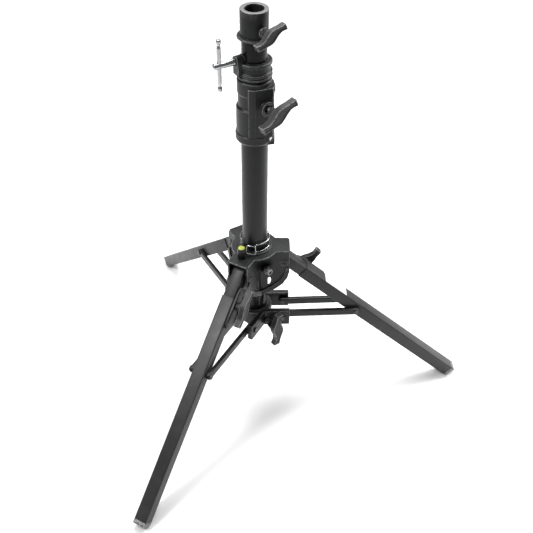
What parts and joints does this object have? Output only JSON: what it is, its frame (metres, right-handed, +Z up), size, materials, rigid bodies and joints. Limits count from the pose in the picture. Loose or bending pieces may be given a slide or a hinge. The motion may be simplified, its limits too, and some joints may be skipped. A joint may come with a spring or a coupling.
{
  "type": "lighting stand",
  "caption": "Low folding tripod lighting stand: braced legs on a sliding crown, telescoping riser with a clamp collar, and a top receiver socket for a fixture spigot.",
  "frame": {"origin": "centre of the footprint, on the floor: the bounding box bottom centre (the column stands at x = -0.1005 m, because the one leg along +X reaches further than the two behind it)", "axes": "+Z up along the column; +X is the direction of leg 1, and legs 2 and 3 stand at 120 and 240 degrees about +Z"},
  "size_m": [0.6432, 0.7422, 0.808],
  "materials": {
    "satin_black_tube": "satin black paint",
    "black_casting": "semi-matt black paint on a casting",
    "socket_casting": "semi-matt black paint, bare rim",
    "dark_grey_leg": "dark grey powder coat",
    "black_plastic": "matt black moulded plastic",
    "chrome": "polished plating",
    "zinc_steel": "zinc plated",
    "black_steel": "black oxide steel",
    "green_vial": "clear yellow-green vial"
  },
  "bodies": {
    "column": {"main_tube": "satin_black_tube", "tube_end_plug": "black_plastic", "lock_casting": "black_casting", "lock_pad": "zinc_steel", "casting_bolt": "zinc_steel", "bottom_collar": "black_casting", "lug_bolt_1a": "black_steel", "lug_bolt_1b": "black_steel", "lug_bolt_2a": "black_steel", "lug_bolt_2b": "black_steel", "lug_bolt_3a": "black_steel", "lug_bolt_3b": "black_steel"},
    "lock_knob": {"lock_knob": "black_plastic", "lock_knob_screw": "zinc_steel"},
    "collar_knob": {"collar_knob": "black_plastic", "collar_knob_screw": "zinc_steel"},
    "riser": {"riser_tube": "satin_black_tube", "riser_bushing": "black_plastic", "receiver_socket": "socket_casting"},
    "socket_knob": {"socket_knob": "black_plastic", "socket_knob_screw": "zinc_steel"},
    "clamp": {"clamp_collar": "black_casting"},
    "clamp_screw": {"clamp_screw": "chrome"},
    "tommy_bar": {"tommy_bar": "chrome"},
    "crown": {"crown": "black_casting", "level_cup": "black_plastic", "level_vial": "green_vial", "pivot_bolt_1": "black_steel", "pivot_bolt_2": "black_steel", "pivot_bolt_3": "black_steel"},
    "crown_screw": {"crown_screw": "black_plastic"},
    "wire_clip": {"wire_clip": "chrome", "wire_link": "chrome"},
    "leg_1": {"leg_head_1": "dark_grey_leg", "leg_tube_1": "dark_grey_leg", "foot_cap_1": "black_plastic", "clamp_plate_1": "black_casting"},
    "leg_knob_1": {"leg_knob_1": "black_plastic"},
    "braces_1": {"brace_1a": "satin_black_tube", "brace_1b": "satin_black_tube", "brace_bolt_1a": "black_steel", "brace_bolt_1b": "black_steel"},
    "leg_2": {"leg_head_2": "dark_grey_leg", "leg_tube_2": "dark_grey_leg", "foot_cap_2": "black_plastic"},
    "braces_2": {"brace_2a": "satin_black_tube", "brace_2b": "satin_black_tube", "brace_bolt_2a": "black_steel", "brace_bolt_2b": "black_steel"},
    "leg_3": {"leg_head_3": "dark_grey_leg", "leg_tube_3": "dark_grey_leg", "foot_cap_3": "black_plastic", "clamp_plate_3": "black_casting"},
    "leg_knob_3": {"leg_knob_3": "black_plastic"},
    "braces_3": {"brace_3a": "satin_black_tube", "brace_3b": "satin_black_tube", "brace_bolt_3a": "black_steel", "brace_bolt_3b": "black_steel"}
  },
  "joints": [
    {"name": "crown_slide", "type": "slide", "parent": "column", "child": "crown", "axis": [0, 0, 1], "range_m": [0, 0.2044]},
    {"name": "riser_slide", "type": "slide", "parent": "column", "child": "riser", "axis": [0, 0, 1], "range_m": [0, 0.36]},
    {"name": "clamp_slide", "type": "slide", "parent": "riser", "child": "clamp", "axis": [0, 0, 1], "range_m": [0, 0.02]},
    {"name": "clamp_screw_turn", "type": "hinge", "parent": "clamp", "child": "clamp_screw", "pos_m": [-0.1005, 0, 0.73], "axis": [-0.8829, -0.4695, 0], "range_deg": [-180, 180]},
    {"name": "tommy_slide", "type": "slide", "parent": "clamp_screw", "child": "tommy_bar", "axis": [0, 0, 1], "range_m": [-0.028, 0.028]},
    {"name": "socket_knob_turn", "type": "hinge", "parent": "riser", "child": "socket_knob", "pos_m": [-0.1005, 0, 0.7785], "axis": [0.5736, -0.8192, 0], "range_deg": [-180, 180]},
    {"name": "lock_knob_turn", "type": "hinge", "parent": "column", "child": "lock_knob", "pos_m": [-0.1005, 0, 0.655], "axis": [0.6157, -0.788, 0], "range_deg": [-180, 180]},
    {"name": "collar_knob_turn", "type": "hinge", "parent": "column", "child": "collar_knob", "pos_m": [-0.1005, 0, 0.19], "axis": [0.6018, -0.7986, 0], "range_deg": [-45, 45]},
    {"name": "crown_screw_turn", "type": "hinge", "parent": "crown", "child": "crown_screw", "pos_m": [-0.1005, 0, 0.319], "axis": [0.6157, -0.788, 0], "range_deg": [-180, 180]},
    {"name": "wire_clip_turn", "type": "hinge", "parent": "crown", "child": "wire_clip", "pos_m": [-0.1005, 0, 0.37], "axis": [0, 0, 1], "range_deg": [-180, 180]},
    {"name": "leg_fold_1", "type": "hinge", "parent": "crown", "child": "leg_1", "pos_m": [-0.047, 0, 0.33], "axis": [0, 1, 0], "range_deg": [0, 48.1]},
    {"name": "brace_swing_1", "type": "hinge", "parent": "column", "child": "braces_1", "pos_m": [-0.047, 0, 0.196], "axis": [0, -1, 0], "range_deg": [0, 88.3]},
    {"name": "leg_knob_turn_1", "type": "hinge", "parent": "leg_1", "child": "leg_knob_1", "pos_m": [-0.00219, 0, 0.2898], "axis": [0, 1, 0], "range_deg": [-180, 180]},
    {"name": "leg_fold_2", "type": "hinge", "parent": "crown", "child": "leg_2", "pos_m": [-0.12725, 0.04633, 0.33], "axis": [-0.866, -0.5, 0], "range_deg": [0, 48.1]},
    {"name": "brace_swing_2", "type": "hinge", "parent": "column", "child": "braces_2", "pos_m": [-0.12725, 0.04633, 0.196], "axis": [0.866, 0.5, 0], "range_deg": [0, 88.3]},
    {"name": "leg_fold_3", "type": "hinge", "parent": "crown", "child": "leg_3", "pos_m": [-0.12725, -0.04633, 0.33], "axis": [0.866, -0.5, 0], "range_deg": [0, 48.1]},
    {"name": "brace_swing_3", "type": "hinge", "parent": "column", "child": "braces_3", "pos_m": [-0.12725, -0.04633, 0.196], "axis": [-0.866, 0.5, 0], "range_deg": [0, 88.3]},
    {"name": "leg_knob_turn_3", "type": "hinge", "parent": "leg_3", "child": "leg_knob_3", "pos_m": [-0.14965, -0.08514, 0.2898], "axis": [0.866, -0.5, 0], "range_deg": [-180, 180]}
  ],
  "couplings": [
    {"joint": "leg_fold_1", "follows": "crown_slide", "rad_per_m": 4.1057},
    {"joint": "brace_swing_1", "follows": "crown_slide", "rad_per_m": 7.5319},
    {"joint": "leg_fold_2", "follows": "crown_slide", "rad_per_m": 4.1057},
    {"joint": "brace_swing_2", "follows": "crown_slide", "rad_per_m": 7.5319},
    {"joint": "leg_fold_3", "follows": "crown_slide", "rad_per_m": 4.1057},
    {"joint": "brace_swing_3", "follows": "crown_slide", "rad_per_m": 7.5319}
  ]
}
